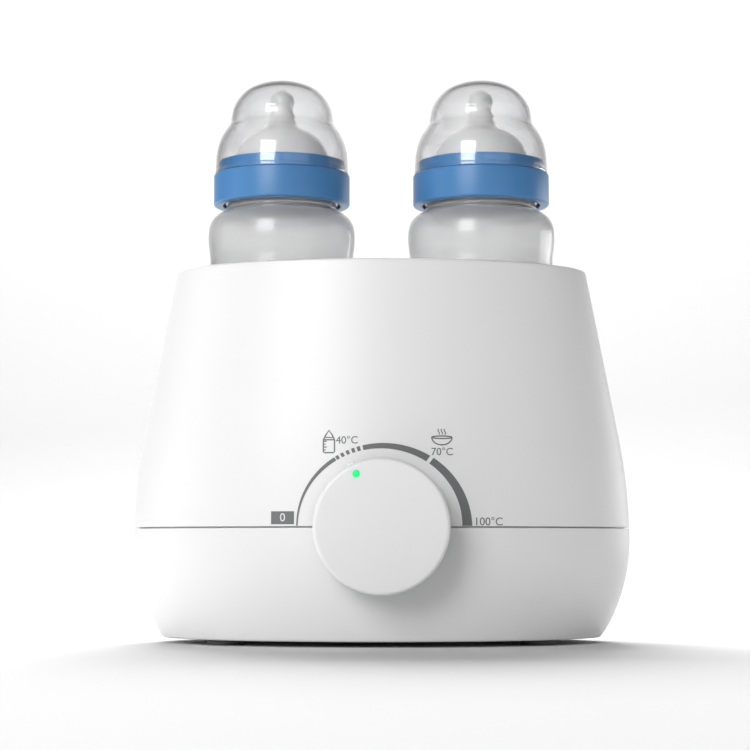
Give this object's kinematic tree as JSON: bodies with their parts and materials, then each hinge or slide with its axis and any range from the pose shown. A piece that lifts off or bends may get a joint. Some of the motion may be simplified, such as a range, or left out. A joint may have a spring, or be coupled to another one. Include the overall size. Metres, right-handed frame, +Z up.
{
  "type": "bottle warmer",
  "caption": "Twin baby bottle warmer: oval two-part housing, two water wells with heaters, a round control knob, and two feeding bottles standing in the wells.",
  "frame": {"origin": "on the bench, under the middle of the oval housing, level with the rubber feet", "axes": "+X to the user's right, -Y to the front where the knob is, +Z up"},
  "size_m": [0.2276, 0.1712, 0.2604],
  "materials": {
    "housing_white": "satin moulded white",
    "knob_white": "satin moulded white",
    "indicator_green": "clear light guide, lit green at its end",
    "collar_blue": "glossy moulded blue",
    "bottle_clear": "frosted translucent plastic",
    "teat_silicone": "milky clear silicone",
    "cap_clear": "clear glossy plastic",
    "well_aluminium": "spun and lightly brushed",
    "heater_aluminium": "as cast",
    "heater_steel": "dull heating tube and can",
    "board_green": "solder mask",
    "component_black": "moulded black",
    "component_yellow": "moulded yellow",
    "shaft_brass": "turned",
    "lead_red": "silicone insulation",
    "screw_steel": "zinc plated",
    "rubber_grey": "moulded rubber",
    "seal_silicone": "silicone bead",
    "print_grey": "pad-printed scale and marks"
  },
  "bodies": {
    "housing": {"upper_housing": "housing_white", "lower_housing": "housing_white", "rubber_feet": "rubber_grey", "housing_screws": "screw_steel", "board_screws": "screw_steel", "bezel_screws": "screw_steel", "knob_bezel": "housing_white", "control_board": "board_green", "rotary_control": "component_black", "indicator_led": "indicator_green", "relay": "component_black", "filter_capacitor": "component_yellow", "terminal_block": "board_green", "cord_gland": "rubber_grey", "left_well": "well_aluminium", "left_well_seal": "seal_silicone", "left_heating_tube": "heater_steel", "left_heater_plate": "heater_aluminium", "left_thermostat": "heater_steel", "left_heater_nuts": "screw_steel", "left_heater_leads": "lead_red", "right_well": "well_aluminium", "right_well_seal": "seal_silicone", "right_heating_tube": "heater_steel", "right_heater_plate": "heater_aluminium", "right_thermostat": "heater_steel", "right_heater_nuts": "screw_steel", "right_heater_leads": "lead_red"},
    "knob": {"knob": "knob_white", "knob_light_pipe": "indicator_green", "control_shaft": "shaft_brass"},
    "left_bottle": {"left_bottle_vessel": "bottle_clear"},
    "left_teat": {"left_bottle_teat": "teat_silicone"},
    "left_collar": {"left_bottle_collar": "collar_blue"},
    "left_cap": {"left_bottle_cap": "cap_clear"},
    "right_bottle": {"right_bottle_vessel": "bottle_clear"},
    "right_teat": {"right_bottle_teat": "teat_silicone"},
    "right_collar": {"right_bottle_collar": "collar_blue"},
    "right_cap": {"right_bottle_cap": "cap_clear"}
  },
  "joints": [
    {"name": "knob_turn", "type": "hinge", "parent": "housing", "child": "knob", "pos_m": [0, -0.0666, 0.052], "axis": [0, 1, 0], "range_deg": [-64.3, 115.7]},
    {"name": "left_bottle_lift", "type": "slide", "parent": "housing", "child": "left_bottle", "axis": [0, 0, 1], "range_m": [0, 0.12]},
    {"name": "left_teat_rise", "type": "slide", "parent": "left_bottle", "child": "left_teat", "axis": [0, 0, 1], "range_m": [0, 0.0141]},
    {"name": "left_collar_turn", "type": "hinge", "parent": "left_teat", "child": "left_collar", "pos_m": [-0.0464, 0, 0.2], "axis": [0, 0, 1], "range_deg": [0, 720]},
    {"name": "left_cap_lift", "type": "slide", "parent": "left_collar", "child": "left_cap", "axis": [0, 0, 1], "range_m": [0, 0.05]},
    {"name": "right_bottle_lift", "type": "slide", "parent": "housing", "child": "right_bottle", "axis": [0, 0, 1], "range_m": [0, 0.12]},
    {"name": "right_teat_rise", "type": "slide", "parent": "right_bottle", "child": "right_teat", "axis": [0, 0, 1], "range_m": [0, 0.0141]},
    {"name": "right_collar_turn", "type": "hinge", "parent": "right_teat", "child": "right_collar", "pos_m": [0.0464, 0, 0.2], "axis": [0, 0, 1], "range_deg": [0, 720]},
    {"name": "right_cap_lift", "type": "slide", "parent": "right_collar", "child": "right_cap", "axis": [0, 0, 1], "range_m": [0, 0.05]}
  ],
  "couplings": [
    {"joint": "left_teat_rise", "follows": "left_collar_turn", "m_per_rad": 0.0011141},
    {"joint": "right_teat_rise", "follows": "right_collar_turn", "m_per_rad": 0.0011141}
  ]
}
